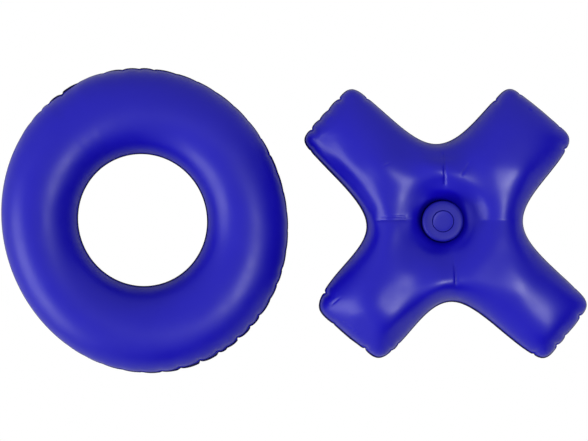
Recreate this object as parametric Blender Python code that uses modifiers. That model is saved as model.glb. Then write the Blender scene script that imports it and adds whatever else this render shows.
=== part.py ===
"""Inflatable floating tic-tac-toe markers: one O ring and one X, lying side by side.

Each marker is two vinyl films welded along a rim, with a push-in air valve:
a flange welded to the film, a neck that slides in the flange, a stopper in the
neck's mouth and a check flap over the neck's inner end.
Metres, +Z up, origin on the ground under the middle of the pair.
"""
import bpy
import bmesh
import numpy as np
from math import cos, sin, pi, radians, sqrt

MM = 0.001

# ---------------------------------------------------------------- dimensions
FILM = 0.30 * MM              # vinyl film thickness
GAP = 0.30 * MM               # clearance left between touching pieces
WELD_OUTER = 1.8 * MM         # width of the weld band round the outer rim
WELD_INNER = 1.0 * MM         # width of the weld band round the ring's hole

# O marker: a slightly oval ring
O_CENTRE = (-104.6 * MM, 0.0)
O_RADIUS = 103.3 * MM         # mean radius of the outer weld edge
O_OVAL = 4.05 * MM            # half difference of the oval's semi-axes
O_OVAL_BEARING = radians(109.0)
O_HOLE_SHIFT = (-1.4 * MM, 0.3 * MM)
O_HOLE_RADIUS = 45.6 * MM     # mean radius of the hole
O_HOLE_OVAL = 0.75 * MM
O_HOLE_BEARING = radians(113.0)
O_HALF_HEIGHT = 26.5 * MM     # bulge of each film above or below the seam
O_SEAM_Z = 25.7 * MM          # height of the seam: the ring is pressed flat on the ground
O_STATIONS = 50               # steps round the ring
O_ACROSS = 8                  # steps across the upper film
O_ACROSS_LOWER = 12           # and across the lower one, which is flat where it rests

# X marker: four arms about the valve, counter-clockwise from the upper right
X_CENTRE = (102.6 * MM, -0.5 * MM)   # the valve's axis
X_OUTLINE_SHIFT = (2.3 * MM, -0.3 * MM)  # the arms' middle, seen from the valve
ARM_BEARING = [radians(a) for a in (48.6, 137.4, 230.0, 318.1)]
ARM_REACH = [r * MM for r in (103.3, 112.8, 104.7, 117.0)]
ARM_TIP_WIDTH = [w * MM for w in (57.2, 51.4, 55.9, 50.6)]
ARM_TIP_TILT = [radians(a) for a in (1.8, 0.2, 0.5, 3.5)]
ARM_TOE_FIRST = [radians(a) for a in (23.5, 15.0, 40.5, 25.0)]
ARM_TOE_SECOND = [radians(a) for a in (-9.3, -11.0, -20.6, -11.6)]
NOTCH_BEARING = [radians(a) for a in (-0.9, 93.4, 180.8, 272.1)]
NOTCH_DEPTH = [d * MM for d in (54.4, 53.5, 53.2, 55.4)]
NOTCH_TURN = [radians(a) for a in (3.8, 4.6, 11.5, 12.1)]
NOTCH_FULLNESS = 18.6 * MM    # how far a notch stays round
ARM_FULLNESS = 21.0 * MM      # how far an arm's side stays straight
CORNER_SOFTNESS = 6.0 * MM    # rounding of the arms' corners
X_SEAM_Z = 25.2 * MM
X_SPREAD = 43.0 * MM          # how quickly the films stop rising away from the seam
X_FULLNESS = 0.88             # 1 would be a round arm
X_DIMPLE = 33.0 * MM          # radius of the hollow round the valve
X_VALVE_FILM_Z = 40.6 * MM    # height of the film where the valve is welded

# valve, one moulding size for both markers; local +z points out of the film
NECK_RADIUS = 14.05 * MM
NECK_WALL = 1.5 * MM
NECK_TOP = 12.0 * MM          # the neck's end when it is pulled out
NECK_TRAVEL = 9.0 * MM        # how far it pushes in
NECK_SKIRT = 3.6 * MM         # depth of the outer wall under the film
NECK_PLATE = 2.1 * MM
BORE_RADIUS = 4.5 * MM
TUBE_RADIUS = 6.4 * MM
TUBE_DEPTH = 6.0 * MM
SEAT_RADIUS = 7.45 * MM       # recess that takes the stopper's disc
SEAT_DEPTH = 1.4 * MM
STOPPER_RADIUS = 7.15 * MM
STOPPER_PIN = 4.2 * MM
STOPPER_LENGTH = 6.6 * MM     # pin below the disc
FLAP_RADIUS = 6.2 * MM
FLAP_THICKNESS = 0.5 * MM
FLANGE_RADIUS = 17.5 * MM
FLANGE_THICKNESS = 1.0 * MM
FLANGE_COLLAR = 1.2 * MM
FLANGE_DEPTH = 4.2 * MM
FILM_HOLE = NECK_RADIUS + 0.4 * MM
FLAT_RADIUS = 18.3 * MM       # the film is flat this far round the valve
TURN_STEPS = 28

O_VALVE_BEARING = radians(235.0)
O_VALVE_FILM_Z = 12.7 * MM    # the underside is drawn up round the ring's valve
O_DIMPLE = 30.0 * MM

# ---------------------------------------------------------------- scene
for old in list(bpy.data.objects):
    bpy.data.objects.remove(old, do_unlink=True)

parts = bpy.data.collections.new("floating_tic_tac_toe_game")
cutters = bpy.data.collections.new("cutters")
bpy.context.scene.collection.children.link(parts)
bpy.context.scene.collection.children.link(cutters)


def vinyl(name, colour, roughness):
    mat = bpy.data.materials.new(name)
    mat.use_nodes = True
    bsdf = mat.node_tree.nodes["Principled BSDF"]
    bsdf.inputs["Base Color"].default_value = (*colour, 1.0)
    bsdf.inputs["Roughness"].default_value = roughness
    bsdf.inputs["Metallic"].default_value = 0.0
    mat.diffuse_color = (*colour, 1.0)
    return mat


def empty(name, location, parent=None):
    ob = bpy.data.objects.new(name, None)
    ob.empty_display_size = 0.01
    ob.location = location
    parts.objects.link(ob)
    if parent is not None:
        ob.parent = parent
    return ob


def from_bmesh(name, bm, material, parent=None, collection=None):
    mesh = bpy.data.meshes.new(name)
    bm.to_mesh(mesh)
    bm.free()
    ob = bpy.data.objects.new(name, mesh)
    (collection or parts).objects.link(ob)
    if material is not None:
        mesh.materials.append(material)
    if parent is not None:
        ob.parent = parent
    return ob


def shell(ob):
    """Film thickness, grown from the outer face inwards."""
    mod = ob.modifiers.new("film", "SOLIDIFY")
    mod.thickness = FILM
    mod.offset = -1.0
    mod.use_even_offset = True
    mod.use_rim = True
    ob.data.shade_smooth()
    ob.data.set_sharp_from_angle(angle=radians(50))


def turned(name, profile, closed, material, parent, z_sign=1.0):
    """A profile at +X turned about the local z axis."""
    bm = bmesh.new()
    vs = [bm.verts.new((r, 0.0, z)) for r, z in profile]
    for a, b in zip(vs, vs[1:]):
        bm.edges.new((a, b))
    if closed:
        bm.edges.new((vs[-1], vs[0]))
    ob = from_bmesh(name, bm, material, parent)
    mod = ob.modifiers.new("turn", "SCREW")
    mod.axis = "Z"
    mod.angle = 2 * pi
    mod.screw_offset = 0.0
    mod.steps = TURN_STEPS
    mod.render_steps = TURN_STEPS
    mod.use_merge_vertices = True
    mod.merge_threshold = 0.00002
    mod.use_smooth_shade = True
    if z_sign < 0:
        ob.rotation_euler = (pi, 0.0, 0.0)
    return ob


def smooth_step(t):
    t = np.clip(t, 0.0, 1.0)
    return t * t * (3.0 - 2.0 * t)


# ---------------------------------------------------------------- O marker films
def o_radii(theta):
    outer = O_RADIUS + O_OVAL * cos(2 * (theta - O_OVAL_BEARING))
    inner = O_HOLE_RADIUS + O_HOLE_OVAL * cos(2 * (theta - O_HOLE_BEARING))
    return outer, inner


def o_section(theta, across):
    """Plan points of one section, outer weld edge first, and the bulge at each."""
    outer, inner = o_radii(theta)
    d = np.array((cos(theta), sin(theta)))
    out_edge = d * outer
    in_edge = np.array(O_HOLE_SHIFT) + d * inner
    out_wall = d * (outer - WELD_OUTER)
    in_wall = np.array(O_HOLE_SHIFT) + d * (inner + WELD_INNER)
    mid, half = (out_wall + in_wall) / 2, (out_wall - in_wall) / 2
    pts, rise = [out_edge], [0.0]
    for i in range(across + 1):
        a = pi * i / across
        pts.append(mid + half * cos(a))
        rise.append(sin(a))
    pts.append(in_edge)
    rise.append(0.0)
    return pts, rise


def o_valve_place():
    outer, inner = o_radii(O_VALVE_BEARING)
    d = np.array((cos(O_VALVE_BEARING), sin(O_VALVE_BEARING)))
    mid = (d * (outer - WELD_OUTER) + np.array(O_HOLE_SHIFT) + d * (inner + WELD_INNER)) / 2
    return O_CENTRE[0] + mid[0], O_CENTRE[1] + mid[1]


def o_film(name, side, material, parent):
    """side +1 is the upper film, -1 the lower one."""
    steps = [2 * pi * i / O_STATIONS for i in range(O_STATIONS)]
    if side < 0:
        # closer steps beside the valve
        half_step = pi / O_STATIONS
        near = [t for t in steps if abs((t - O_VALVE_BEARING + pi) % (2 * pi) - pi) < radians(24)]
        steps = sorted(steps + [t + half_step for t in near])
    vx, vy = o_valve_place()
    bm = bmesh.new()
    rows = []
    for theta in steps:
        pts, rise = o_section(theta, O_ACROSS if side > 0 else O_ACROSS_LOWER)
        row = []
        for (x, y), s in zip(pts, rise):
            x, y = x + O_CENTRE[0], y + O_CENTRE[1]
            z = O_SEAM_Z + side * (GAP / 2 + FILM + (O_HALF_HEIGHT - FILM) * s)
            if side < 0:
                z = max(z, 0.0)
                t = float(smooth_step((sqrt((x - vx) ** 2 + (y - vy) ** 2) - FLAT_RADIUS)
                                      / (O_DIMPLE - FLAT_RADIUS)))
                if 0.0 < s:
                    z = O_VALVE_FILM_Z * (1 - t) + z * t
            row.append(bm.verts.new((x, y, z)))
        rows.append(row)
    for i, row in enumerate(rows):
        nxt = rows[(i + 1) % len(rows)]
        for a, b, c, d in zip(row, nxt, nxt[1:], row[1:]):
            bm.faces.new((a, b, c, d) if side > 0 else (d, c, b, a))
    ob = from_bmesh(name, bm, material, parent)
    shell(ob)
    return ob


# ---------------------------------------------------------------- X marker films
def direction(a):
    return np.array((cos(a), sin(a)))


def bezier(p0, p1, p2, p3, n):
    t = np.linspace(0, 1, n, endpoint=False)[:, None]
    return (1 - t) ** 3 * p0 + 3 * (1 - t) ** 2 * t * p1 + 3 * (1 - t) * t * t * p2 + t ** 3 * p3


def x_corners():
    notches = [NOTCH_DEPTH[k] * direction(NOTCH_BEARING[k]) for k in range(4)]
    first, second = [], []
    for k in range(4):
        tip = ARM_REACH[k] * direction(ARM_BEARING[k])
        along = direction(ARM_BEARING[k] + pi / 2 + ARM_TIP_TILT[k])
        first.append(tip - along * ARM_TIP_WIDTH[k] / 2)
        second.append(tip + along * ARM_TIP_WIDTH[k] / 2)
    return notches, first, second


def x_outline(step=1.0 * MM):
    """The weld's outer edge about the valve, closed, even steps, corners rounded,
    and the indices of the notches and of the arms' corners on it."""
    notches, first, second = x_corners()
    runs = []
    for k in range(4):
        j = (k + 1) % 4
        leave = direction(NOTCH_BEARING[k] + NOTCH_TURN[k] + pi / 2)
        arrive = direction(NOTCH_BEARING[j] + NOTCH_TURN[j] + pi / 2)
        toe_a = direction(ARM_BEARING[k] + ARM_TOE_FIRST[k])
        toe_b = direction(ARM_BEARING[k] + ARM_TOE_SECOND[k])
        runs.append(bezier(notches[k], notches[k] + leave * NOTCH_FULLNESS,
                           first[k] - toe_a * ARM_FULLNESS, first[k], 90))
        runs.append(bezier(first[k], first[k] * 2 / 3 + second[k] / 3,
                           first[k] / 3 + second[k] * 2 / 3, second[k], 50))
        runs.append(bezier(second[k], second[k] - toe_b * ARM_FULLNESS,
                           notches[j] - arrive * NOTCH_FULLNESS, notches[j], 90))
    rough = np.concatenate(runs)
    seg = np.hypot(*(np.roll(rough, -1, 0) - rough).T)
    at = np.concatenate([[0.0], np.cumsum(seg)])
    n = int(round(at[-1] / step))
    s = np.arange(n) * at[-1] / n
    ring = np.vstack([rough, rough[:1]])
    even = np.column_stack([np.interp(s, at, ring[:, 0]), np.interp(s, at, ring[:, 1])])
    reach = int(3 * CORNER_SOFTNESS / step)
    offsets = range(-reach, reach + 1)
    weights = np.array([np.exp(-0.5 * (o * step / CORNER_SOFTNESS) ** 2) for o in offsets])
    weights /= weights.sum()
    soft = sum(w * np.roll(even, o, 0) for w, o in zip(weights, offsets))
    counts = np.cumsum([0] + [len(r) for r in runs])
    marks = [int(round(at[c] / at[-1] * n)) % n for c in counts[:-1]]
    return soft, marks


def inset(line, width):
    tangent = np.roll(line, -1, 0) - np.roll(line, 1, 0)
    tangent /= np.hypot(*tangent.T)[:, None]
    return line - np.column_stack([tangent[:, 1], -tangent[:, 0]]) * width


def spread(line, start, end, places):
    """Points of a closed line from index start to end at the given fractions."""
    n = len(line)
    length = (end - start) % n
    idx = start + np.asarray(places) * length
    low = np.floor(idx).astype(int)
    f = (idx - low)[:, None]
    return line[low % n] * (1 - f) + line[(low + 1) % n] * f


# an arm's cross steps and its steps from root to tip, closer beside the seam
CROSS = [0.0, 0.035, 0.13, 0.29, 0.5, 0.71, 0.87, 0.965, 1.0]
ALONG = [0.0, 0.18, 0.36, 0.54, 0.70, 0.83, 0.93, 0.985, 1.0]
HUB = [0.0, 0.26, 0.50, 0.72, 0.90]  # from the valve to the arms' roots


def x_plan(hub_radius):
    """Plan grid of one film: points, faces and the order of the rim."""
    outer, marks = x_outline()
    outer = outer + np.array(X_OUTLINE_SHIFT)
    wall = inset(outer, WELD_OUTER)
    points, faces, rim, keys = [], [], [], {}

    def add(p):
        key = (round(float(p[0]) / 2e-6), round(float(p[1]) / 2e-6))
        if key not in keys:
            keys[key] = len(points)
            points.append((float(p[0]), float(p[1])))
        return keys[key]

    for k in range(4):
        m_notch, m_first, m_second = marks[3 * k:3 * k + 3]
        m_next = marks[(3 * k + 3) % 12]
        left = spread(wall, m_notch, m_first, ALONG)
        top = spread(wall, m_first, m_second, CROSS)
        right = spread(wall, m_second, m_next, [1 - v for v in ALONG])
        root = [left[0] * (1 - u) + right[0] * u for u in CROSS]
        grid = []
        a0 = np.arctan2(left[0][1], left[0][0])
        a1 = np.arctan2(right[0][1], right[0][0])
        a1 += 2 * pi if a1 < a0 else 0.0
        hub = [hub_radius * direction(a0 + (a1 - a0) * u) for u in CROSS]
        for w in HUB:
            grid.append([add(hub[i] * (1 - w) + root[i] * w) for i in range(len(CROSS))])
        for j, v in enumerate(ALONG):
            row = []
            for i, u in enumerate(CROSS):
                p = ((1 - u) * left[j] + u * right[j] + (1 - v) * root[i] + v * top[i]
                     - (1 - u) * (1 - v) * left[0] - u * (1 - v) * right[0]
                     - (1 - u) * v * left[-1] - u * v * right[-1])
                row.append(add(p))
            grid.append(row)
        for r0, r1 in zip(grid, grid[1:]):
            for i in range(len(CROSS) - 1):
                # counter-clockwise seen from above
                faces.append((r0[i], r1[i], r1[i + 1], r0[i + 1]))
        arm = grid[len(HUB):]
        rim += [row[0] for row in arm[:-1]] + arm[-1][:-1] + [row[-1] for row in arm[:0:-1]]
    order = []
    for i in rim:
        if not order or order[-1] != i:
            order.append(i)
    if order[0] == order[-1]:
        order.pop()
    plan = np.array(points)
    # the weld's outer edge beside each rim point
    dist = ((plan[order][:, None, :] - wall[None, :, :]) ** 2).sum(2)
    edge = outer[dist.argmin(1)]
    return plan, faces, order, edge


def inflated(plan, faces, order):
    """Rise of a film blown up over its plan: a stretched skin held at the rim."""
    n = len(plan)
    stiff = np.zeros((n, n))
    area = np.zeros(n)
    for a, b, c, d in faces:
        for tri in ((a, b, c), (a, c, d)):
            if len(set(tri)) < 3:
                continue
            p = [plan[i] for i in tri]
            e1, e2 = p[1] - p[0], p[2] - p[0]
            double = abs(e1[0] * e2[1] - e1[1] * e2[0])
            if double < 1e-14:
                continue
            for m in range(3):
                i, j, o = tri[m], tri[(m + 1) % 3], tri[(m + 2) % 3]
                u, v = plan[i] - plan[o], plan[j] - plan[o]
                cot = float(u @ v) / double
                stiff[i, j] -= cot / 2
                stiff[j, i] -= cot / 2
                stiff[i, i] += cot / 2
                stiff[j, j] += cot / 2
                area[tri[m]] += double / 6
    held = np.zeros(n, bool)
    held[order] = True
    free = np.where(~held)[0]
    system = stiff[np.ix_(free, free)] + np.diag(area[free]) / X_SPREAD ** 2
    rise = np.zeros(n)
    rise[free] = np.linalg.solve(system, area[free])
    return X_FULLNESS * np.sqrt(2 * np.clip(rise, 0.0, None))


def x_film(name, side, material, parent):
    hub_radius = FILM_HOLE if side > 0 else 0.75 * FILM_HOLE
    plan, faces, order, edge = x_plan(hub_radius)
    rise = inflated(plan, faces, order)
    held = set(order)
    bm = bmesh.new()
    verts = []
    for i, ((x, y), h) in enumerate(zip(plan, rise)):
        z = X_SEAM_Z + side * (GAP / 2 + FILM + h)
        r = sqrt(x * x + y * y)
        if side > 0 and i not in held:
            t = float(smooth_step((r - FLAT_RADIUS) / (X_DIMPLE - FLAT_RADIUS)))
            z = X_VALVE_FILM_Z * (1 - t) + z * t
        if side < 0:
            z = max(z, 0.0)
        verts.append(bm.verts.new((x + X_CENTRE[0], y + X_CENTRE[1], z)))
    lip = [bm.verts.new((e[0] + X_CENTRE[0], e[1] + X_CENTRE[1],
                         X_SEAM_Z + side * (GAP / 2 + FILM))) for e in edge]
    for f in faces:
        loop = []
        for i in f:
            if verts[i] not in loop:
                loop.append(verts[i])
        if len(loop) > 2:
            bm.faces.new(loop if side < 0 else loop[::-1])
    n = len(order)
    for i in range(n):
        a, b = verts[order[i]], verts[order[(i + 1) % n]]
        c, d = lip[(i + 1) % n], lip[i]
        bm.faces.new((a, d, c, b) if side > 0 else (a, b, c, d))
    if side < 0:
        # the middle of the underside is one flat face on the ground
        hub = [e for e in bm.edges if e.is_boundary
               and all(abs(v.co.z) < 1e-9 for v in e.verts)]
        bmesh.ops.contextual_create(bm, geom=hub)
    bmesh.ops.recalc_face_normals(bm, faces=bm.faces[:])
    probe = max(bm.faces, key=lambda f: f.calc_center_median().z * side)
    if probe.normal.z * side < 0:
        bmesh.ops.reverse_faces(bm, faces=bm.faces[:])
    ob = from_bmesh(name, bm, material, parent)
    shell(ob)
    return ob


# ---------------------------------------------------------------- valve pieces
def flange(name, material, parent, z_sign):
    top, low = -FILM - GAP, -FILM - GAP - FLANGE_THICKNESS
    inner = NECK_RADIUS + GAP
    profile = [(FLANGE_RADIUS, top), (FLANGE_RADIUS, low), (inner + FLANGE_COLLAR, low),
               (inner + FLANGE_COLLAR, -FLANGE_DEPTH), (inner, -FLANGE_DEPTH), (inner, top)]
    return turned(name, profile, True, material, parent, z_sign)


def neck(name, material, parent, z_sign):
    top, edge = 0.0, 0.6 * MM
    low = -NECK_TOP - NECK_SKIRT
    tube = -NECK_TOP - TUBE_DEPTH
    seat = -SEAT_DEPTH
    profile = [(NECK_RADIUS - edge, top), (NECK_RADIUS - 0.3 * edge, top - 0.3 * edge),
               (NECK_RADIUS, top - edge), (NECK_RADIUS, low),
               (NECK_RADIUS - NECK_WALL, low), (NECK_RADIUS - NECK_WALL, -NECK_PLATE),
               (TUBE_RADIUS, -NECK_PLATE), (TUBE_RADIUS, tube), (BORE_RADIUS, tube),
               (BORE_RADIUS, seat), (SEAT_RADIUS, seat), (SEAT_RADIUS, top)]
    return turned(name, profile, True, material, parent, z_sign)


def stopper(name, material, parent, z_sign):
    top = 0.1 * MM
    under = -SEAT_DEPTH + GAP
    end = under - STOPPER_LENGTH
    profile = [(0.0, top), (STOPPER_RADIUS - 0.45 * MM, top),
               (STOPPER_RADIUS, top - 0.35 * MM), (STOPPER_RADIUS, under),
               (STOPPER_PIN, under), (STOPPER_PIN, end + 0.8 * MM),
               (STOPPER_PIN - 0.6 * MM, end), (0.0, end)]
    return turned(name, profile, False, material, parent, z_sign)


def flap(name, material, parent):
    """A thin disc whose origin is on its welded edge."""
    bm = bmesh.new()
    bmesh.ops.create_cone(bm, cap_ends=True, segments=TURN_STEPS,
                          radius1=FLAP_RADIUS, radius2=FLAP_RADIUS, depth=FLAP_THICKNESS)
    bmesh.ops.translate(bm, verts=bm.verts[:], vec=(FLAP_RADIUS, 0.0, 0.0))
    ob = from_bmesh(name, bm, material, parent)
    ob.data.shade_smooth()
    ob.data.set_sharp_from_angle(angle=radians(40))
    return ob


def valve(prefix, marker, x, y, film_z, z_sign, pushed_in, mats):
    """A whole valve at (x, y); z_sign +1 faces up, -1 faces down."""
    seat = empty(prefix + "_valve_place", (x, y, film_z), marker)
    flange(prefix + "_valve_flange", mats["flange"], seat, z_sign)
    mouth_z = z_sign * (NECK_TOP - (NECK_TRAVEL if pushed_in else 0.0))
    mouth = empty(prefix + "_valve_slide", (0.0, 0.0, mouth_z), seat)
    neck(prefix + "_valve_neck", mats["neck"], mouth, z_sign)
    stopper(prefix + "_stopper", mats["stopper"], mouth, z_sign)
    flap_z = -z_sign * (NECK_TOP + TUBE_DEPTH + GAP + FLAP_THICKNESS / 2)
    hinge = empty(prefix + "_flap_hinge", (-FLAP_RADIUS, 0.0, flap_z), mouth)
    flap(prefix + "_check_flap", mats["flap"], hinge)


# ---------------------------------------------------------------- build
film_blue = vinyl("film_blue", (0.027, 0.022, 0.40), 0.42)
film_under = vinyl("film_blue_under", (0.024, 0.019, 0.36), 0.45)
mats = {"flange": vinyl("flange_blue", (0.010, 0.008, 0.26), 0.5),
        "neck": vinyl("neck_blue", (0.035, 0.028, 0.36), 0.5),
        "stopper": vinyl("stopper_blue", (0.032, 0.026, 0.36), 0.5),
        "flap": vinyl("flap_clear_blue", (0.06, 0.06, 0.5), 0.35)}

o_marker = empty("o_marker_lift", (0.0, 0.0, 0.0))
o_film("o_upper_film", 1, film_blue, o_marker)
o_lower = o_film("o_lower_film", -1, film_under, o_marker)
ox, oy = o_valve_place()
bm = bmesh.new()
bmesh.ops.create_cone(bm, cap_ends=True, segments=2 * TURN_STEPS,
                      radius1=FILM_HOLE, radius2=FILM_HOLE, depth=10 * MM)
hole = from_bmesh("o_valve_hole", bm, None, None, cutters)
hole.location = (ox, oy, O_VALVE_FILM_Z)
hole.hide_render = True
hole.display_type = "WIRE"
cut = o_lower.modifiers.new("valve_hole", "BOOLEAN")
cut.operation = "DIFFERENCE"
cut.solver = "EXACT"
cut.object = hole
valve("o", o_marker, ox, oy, O_VALVE_FILM_Z, -1, True, mats)

x_marker = empty("x_marker_place", (0.0, 0.0, 0.0))
x_film("x_upper_film", 1, film_blue, x_marker)
x_film("x_lower_film", -1, film_under, x_marker)
valve("x", x_marker, X_CENTRE[0], X_CENTRE[1], X_VALVE_FILM_Z, 1, False, mats)
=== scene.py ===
"""Looks of the inflatable tic-tac-toe markers: vinyl skins, weld rims and valves.

Geometry is worked out in millimetres and written to the meshes in metres.
"""

from math import cos, sin, pi, radians, sqrt, hypot

import bpy
import numpy as np
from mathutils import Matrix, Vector
from mathutils.geometry import delaunay_2d_cdt


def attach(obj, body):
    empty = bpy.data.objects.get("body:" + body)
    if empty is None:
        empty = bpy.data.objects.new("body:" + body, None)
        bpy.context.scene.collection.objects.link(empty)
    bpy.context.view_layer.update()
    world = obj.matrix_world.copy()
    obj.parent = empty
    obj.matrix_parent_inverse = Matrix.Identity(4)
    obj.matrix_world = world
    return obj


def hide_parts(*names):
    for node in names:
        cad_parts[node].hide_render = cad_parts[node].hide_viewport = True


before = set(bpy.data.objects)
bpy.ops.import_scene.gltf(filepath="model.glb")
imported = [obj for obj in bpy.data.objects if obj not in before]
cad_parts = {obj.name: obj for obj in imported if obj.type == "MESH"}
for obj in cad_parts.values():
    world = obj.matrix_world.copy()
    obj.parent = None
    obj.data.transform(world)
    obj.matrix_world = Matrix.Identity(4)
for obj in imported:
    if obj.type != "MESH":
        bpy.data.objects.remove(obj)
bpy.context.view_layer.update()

MM = 0.001

# ---------------------------------------------------------------- the markers' sizes, in mm
FILM = 0.30
SEAM_GAP = 0.012                 # half the space between the two welded films
WELD = 1.8                       # width of the weld band
WELD_INNER = 1.0

O_CENTRE = np.array((-104.6, 0.0))
O_RADIUS, O_OVAL, O_BEARING = 103.3, 4.05, radians(109.0)
O_HOLE_SHIFT = np.array((-1.4, 0.3))
O_HOLE_RADIUS, O_HOLE_OVAL, O_HOLE_BEARING = 45.6, 0.75, radians(113.0)
O_HALF_HEIGHT, O_SEAM_Z = 26.5, 25.7

X_CENTRE = np.array((102.6, -0.5))
X_OUTLINE_SHIFT = np.array((2.3, -0.3))
ARM_BEARING = [radians(a) for a in (48.6, 137.4, 230.0, 318.1)]
ARM_REACH = [103.3, 112.8, 104.7, 117.0]
ARM_TIP_WIDTH = [57.2, 51.4, 55.9, 50.6]
ARM_TIP_TILT = [radians(a) for a in (1.8, 0.2, 0.5, 3.5)]
ARM_TOE_FIRST = [radians(a) for a in (23.5, 15.0, 40.5, 25.0)]
ARM_TOE_SECOND = [radians(a) for a in (-9.3, -11.0, -20.6, -11.6)]
NOTCH_BEARING = [radians(a) for a in (-0.9, 93.4, 180.8, 272.1)]
NOTCH_DEPTH = [54.4, 53.5, 53.2, 55.4]
NOTCH_TURN = [radians(a) for a in (3.8, 4.6, 11.5, 12.1)]
NOTCH_FULLNESS, ARM_FULLNESS, CORNER_SOFTNESS = 18.6, 21.0, 6.0
X_SEAM_Z, X_SPREAD, X_FULLNESS, X_MOST = 25.2, 110.0, 0.92, 30.0
X_VALVE_FILM_Z = 40.6

NECK_RADIUS, NECK_WALL, NECK_TOP, NECK_TRAVEL = 14.05, 1.5, 12.0, 9.0
NECK_SKIRT, NECK_PLATE, BORE_RADIUS = 3.6, 2.1, 4.5
TUBE_RADIUS, TUBE_DEPTH = 6.4, 6.0
SEAT_RADIUS, SEAT_DEPTH = 7.45, 1.4
STOPPER_RADIUS, STOPPER_PIN, STOPPER_LENGTH = 7.15, 4.2, 6.6
FLAP_RADIUS, FLAP_THICKNESS = 6.2, 0.5
FLANGE_RADIUS, FLANGE_THICKNESS, FLANGE_COLLAR, FLANGE_DEPTH = 17.5, 1.0, 1.2, 4.2
GAP = 0.3
FILM_HOLE = NECK_RADIUS + 0.4
FLAT_RADIUS = 18.3
O_VALVE_BEARING = radians(235.0)
O_VALVE_FILM_Z, O_DIMPLE = 12.7, 30.0


# ---------------------------------------------------------------- small tools
def smooth_step(t):
    t = np.clip(t, 0.0, 1.0)
    return t * t * (3.0 - 2.0 * t)


def direction(a):
    return np.array((cos(a), sin(a)))


def waves(points, seed, longest, shortest, count=9):
    """A gentle uneven field over points, about -1 to 1: a few plane waves in set directions."""
    rng = np.random.default_rng(seed)
    out = np.zeros(len(points))
    total = 0.0
    for _ in range(count):
        length = shortest * (longest / shortest) ** rng.random()
        way = rng.normal(size=points.shape[1])
        way /= np.linalg.norm(way)
        weight = (length / longest) ** 0.5
        out += weight * np.sin(points @ way * 2 * pi / length + rng.random() * 2 * pi)
        total += weight ** 2
    return out / sqrt(2 * total)


def by_bearing(table, degrees):
    """Values read round the compass from (bearing, value) pairs, smoothly."""
    a = np.array([t[0] for t in table], float)
    v = np.array([t[1] for t in table], float)
    a = np.concatenate([a - 360, a, a + 360])
    v = np.concatenate([v, v, v])
    d = np.mod(degrees, 360.0)
    i = np.clip(np.searchsorted(a, d, side="right") - 1, 0, len(a) - 2)
    f = (d - a[i]) / (a[i + 1] - a[i])
    f = f * f * (3 - 2 * f)
    return v[i] * (1 - f) + v[i + 1] * f


def vertex_normals(points, tris):
    a, b, c = (points[tris[:, i]] for i in range(3))
    n = np.cross(b - a, c - a)
    out = np.zeros_like(points)
    for i in range(3):
        for k in range(3):
            out[:, k] += np.bincount(tris[:, i], weights=n[:, k], minlength=len(points))
    length = np.linalg.norm(out, axis=1)
    return out / np.maximum(length, 1e-12)[:, None]


def triangles_of(quads):
    q = np.asarray(quads, int)
    return np.vstack([q[:, (0, 1, 2)], q[:, (0, 2, 3)]])


def add_mesh(name, points, faces, materials, slots=None):
    """faces is a list of arrays, one per face size; slots the material of each face."""
    mesh = bpy.data.meshes.new(name)
    polys = [f.tolist() for f in faces if len(f)]
    flat = [p for group in polys for p in group]
    mesh.from_pydata((np.asarray(points) * MM).tolist(), [], flat)
    for m in materials:
        mesh.materials.append(m)
    if slots is not None:
        mesh.polygons.foreach_set("material_index", np.asarray(slots, np.int32))
    mesh.shade_smooth()
    mesh.update()
    mesh.validate()
    ob = bpy.data.objects.new(name, mesh)
    bpy.context.scene.collection.objects.link(ob)
    return ob


def border_edges(tris):
    """Directed edges that only one triangle has."""
    e = np.vstack([tris[:, (0, 1)], tris[:, (1, 2)], tris[:, (2, 0)]])
    key = e.min(1).astype(np.int64) * (e.max() + 1) + e.max(1)
    _, back, count = np.unique(key, return_inverse=True, return_counts=True)
    return e[count[back] == 1]


def film_skin(name, points, quads, tris, materials, quad_slots, tri_slots, sharp=None):
    """A vinyl film: the outer face given, an inner face one film thickness within,
    and the cut edges closed."""
    quads = np.asarray(quads, int).reshape(-1, 4)
    tris = np.asarray(tris, int).reshape(-1, 3)
    every = np.vstack([triangles_of(quads), tris]) if len(quads) else tris
    normal = vertex_normals(points, every)
    n = len(points)
    inner = points - normal * FILM
    rim = border_edges(every)
    edge = np.column_stack([rim[:, 1], rim[:, 0], rim[:, 0] + n, rim[:, 1] + n])
    all_points = np.vstack([points, inner])
    faces = [np.vstack([quads, quads[:, ::-1] + n, edge]), np.vstack([tris, tris[:, ::-1] + n])]
    slots = np.concatenate([quad_slots, quad_slots, np.full(len(edge), 1),
                            tri_slots, tri_slots])
    return add_mesh(name, all_points, faces, materials, slots)


# ---------------------------------------------------------------- materials
def node_material(name):
    mat = bpy.data.materials.new(name)
    mat.use_nodes = True
    tree = mat.node_tree
    return mat, tree, tree.nodes["Principled BSDF"]


def wire(tree, a, b):
    tree.links.new(a, b)


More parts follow.
